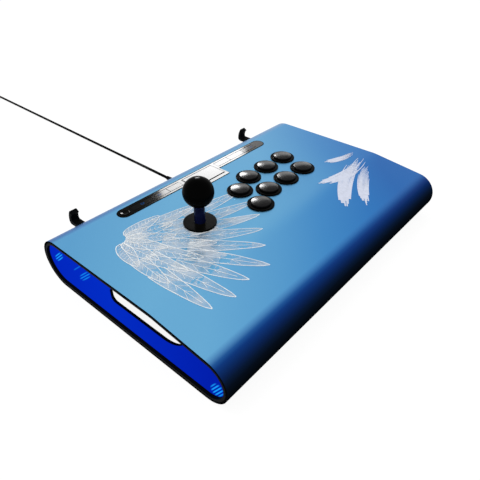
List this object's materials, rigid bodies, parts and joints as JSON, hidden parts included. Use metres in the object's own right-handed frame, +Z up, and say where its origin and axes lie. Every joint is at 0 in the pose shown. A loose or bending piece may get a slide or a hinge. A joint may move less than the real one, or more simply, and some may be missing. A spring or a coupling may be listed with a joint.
{
  "type": "arcade joystick panel",
  "caption": "Low slab controller with a wrapped metal body, ball-top lever, push-button field, rear touch strip, lit ends with hand slots, cable hooks and a coiled lead.",
  "frame": {"origin": "On the table, under the middle of the body and its hooks.", "axes": "+X to the player's right, +Y to the rear where the lead leaves, +Z up."},
  "size_m": [0.4168, 0.9948, 0.1207],
  "materials": {
    "shell_blue": "Blue anodised satin, fading to navy at the front round; black at the ends.",
    "black_moulding": "Fine-textured black moulding.",
    "lit_acrylic": "Clear acrylic, lit blue from behind.",
    "board": "Solder-masked circuit board with its parts.",
    "black_plate": "Black powder coat.",
    "bare_steel": "Zinc-plated steel.",
    "ledge_alloy": "Mill-finish aluminium.",
    "pad_rubber": "Closed-cell non-slip foam rubber.",
    "gloss_black": "High-gloss black.",
    "cap_grey": "Glossy dark grey moulding.",
    "ivory_moulding": "Natural acetal.",
    "navy_sleeve": "Gloss navy tube.",
    "shaft_steel": "Ground and plated steel.",
    "brass": "Plain brass.",
    "cord_jacket": "Matt black cord jacket.",
    "strap": "Black hook-and-loop strap."
  },
  "bodies": {
    "console": {"body_shell": "shell_blue", "end_frame_left": "black_moulding", "end_frame_right": "black_moulding", "light_panel_left": "lit_acrylic", "light_panel_right": "lit_acrylic", "led_board_left": "board", "led_board_right": "board", "hand_liner_left": "black_moulding", "hand_liner_right": "black_moulding", "access_cover": "black_plate", "cover_ledge": "ledge_alloy", "cover_screws": "bare_steel", "foam_pad": "pad_rubber", "control_strip": "gloss_black", "touch_keys": "gloss_black", "strip_board": "board", "lever_plate": "black_plate", "lever_fasteners": "bare_steel", "lever_housing": "black_moulding", "lever_switches": "board", "restrictor_gate": "ivory_moulding", "button_housing_1": "gloss_black", "button_housing_2": "gloss_black", "button_housing_3": "gloss_black", "button_housing_4": "gloss_black", "button_housing_5": "gloss_black", "button_housing_6": "gloss_black", "button_housing_7": "gloss_black", "button_housing_8": "gloss_black", "button_switches": "board", "hook_left": "black_moulding", "hook_right": "black_moulding", "hook_screws": "bare_steel", "cord_gland": "black_moulding", "strain_relief": "cord_jacket", "main_board": "board", "board_standoffs": "brass", "cable": "cord_jacket", "cable_coil": "cord_jacket", "cable_tie": "strap", "usb_plug": "cord_jacket"},
    "lever_pivot": {"lever_spring": "bare_steel"},
    "lever_rocker": {"pivot_ball": "ivory_moulding", "lever_actuator": "ivory_moulding"},
    "lever_stick": {"lever_shaft": "shaft_steel", "e_clip": "bare_steel", "shaft_cover": "navy_sleeve", "ball_top": "gloss_black"},
    "washer_carriage": {"lower_dust_washer": "black_moulding"},
    "top_washer": {"dust_washer": "gloss_black"},
    "button_1": {"button_plunger_1": "cap_grey"},
    "button_2": {"button_plunger_2": "cap_grey"},
    "button_3": {"button_plunger_3": "cap_grey"},
    "button_4": {"button_plunger_4": "cap_grey"},
    "button_5": {"button_plunger_5": "cap_grey"},
    "button_6": {"button_plunger_6": "cap_grey"},
    "button_7": {"button_plunger_7": "cap_grey"},
    "button_8": {"button_plunger_8": "cap_grey"},
    "touchpad": {"touchpad": "gloss_black"},
    "home_button": {"home_button": "gloss_black"}
  },
  "joints": [
    {"name": "stick_fore_aft", "type": "hinge", "parent": "console", "child": "lever_pivot", "pos_m": [-0.0783, 0.0084, 0.0457], "axis": [1, 0, 0], "range_deg": [-9.5, 9.5], "stiffness_Nm_per_rad": 0.4, "deforming": ["lever_spring"]},
    {"name": "stick_left_right", "type": "hinge", "parent": "lever_pivot", "child": "lever_rocker", "pos_m": [-0.0783, 0.0084, 0.0457], "axis": [0, 1, 0], "range_deg": [-9.5, 9.5], "stiffness_Nm_per_rad": 0.4},
    {"name": "stick_spin", "type": "hinge", "parent": "lever_rocker", "child": "lever_stick", "pos_m": [-0.0783, 0.0084, 0.0457], "axis": [0, 0, 1], "continuous": true},
    {"name": "washer_slide_x", "type": "slide", "parent": "console", "child": "washer_carriage", "axis": [1, 0, 0], "range_m": [-0.0031, 0.0031]},
    {"name": "washer_slide_y", "type": "slide", "parent": "washer_carriage", "child": "top_washer", "axis": [0, 1, 0], "range_m": [-0.0031, 0.0031]},
    {"name": "button_1_press", "type": "slide", "parent": "console", "child": "button_1", "axis": [0, 0, -1], "range_m": [0, 0.003], "stiffness_N_per_m": 250, "springref_m": -0.001},
    {"name": "button_2_press", "type": "slide", "parent": "console", "child": "button_2", "axis": [0, 0, -1], "range_m": [0, 0.003], "stiffness_N_per_m": 250, "springref_m": -0.001},
    {"name": "button_3_press", "type": "slide", "parent": "console", "child": "button_3", "axis": [0, 0, -1], "range_m": [0, 0.003], "stiffness_N_per_m": 250, "springref_m": -0.001},
    {"name": "button_4_press", "type": "slide", "parent": "console", "child": "button_4", "axis": [0, 0, -1], "range_m": [0, 0.003], "stiffness_N_per_m": 250, "springref_m": -0.001},
    {"name": "button_5_press", "type": "slide", "parent": "console", "child": "button_5", "axis": [0, 0, -1], "range_m": [0, 0.003], "stiffness_N_per_m": 250, "springref_m": -0.001},
    {"name": "button_6_press", "type": "slide", "parent": "console", "child": "button_6", "axis": [0, 0, -1], "range_m": [0, 0.003], "stiffness_N_per_m": 250, "springref_m": -0.001},
    {"name": "button_7_press", "type": "slide", "parent": "console", "child": "button_7", "axis": [0, 0, -1], "range_m": [0, 0.003], "stiffness_N_per_m": 250, "springref_m": -0.001},
    {"name": "button_8_press", "type": "slide", "parent": "console", "child": "button_8", "axis": [0, 0, -1], "range_m": [0, 0.003], "stiffness_N_per_m": 250, "springref_m": -0.001},
    {"name": "touchpad_click", "type": "slide", "parent": "console", "child": "touchpad", "axis": [0, 0, -1], "range_m": [0, 0.0005], "stiffness_N_per_m": 1500, "springref_m": -0.0002},
    {"name": "home_press", "type": "slide", "parent": "console", "child": "home_button", "axis": [0, 0, -1], "range_m": [0, 0.0008], "stiffness_N_per_m": 800, "springref_m": -0.0003}
  ],
  "couplings": [
    {"joint": "washer_slide_x", "follows": "stick_left_right", "m_per_rad": 0.0184},
    {"joint": "washer_slide_y", "follows": "stick_fore_aft", "m_per_rad": -0.0184}
  ]
}
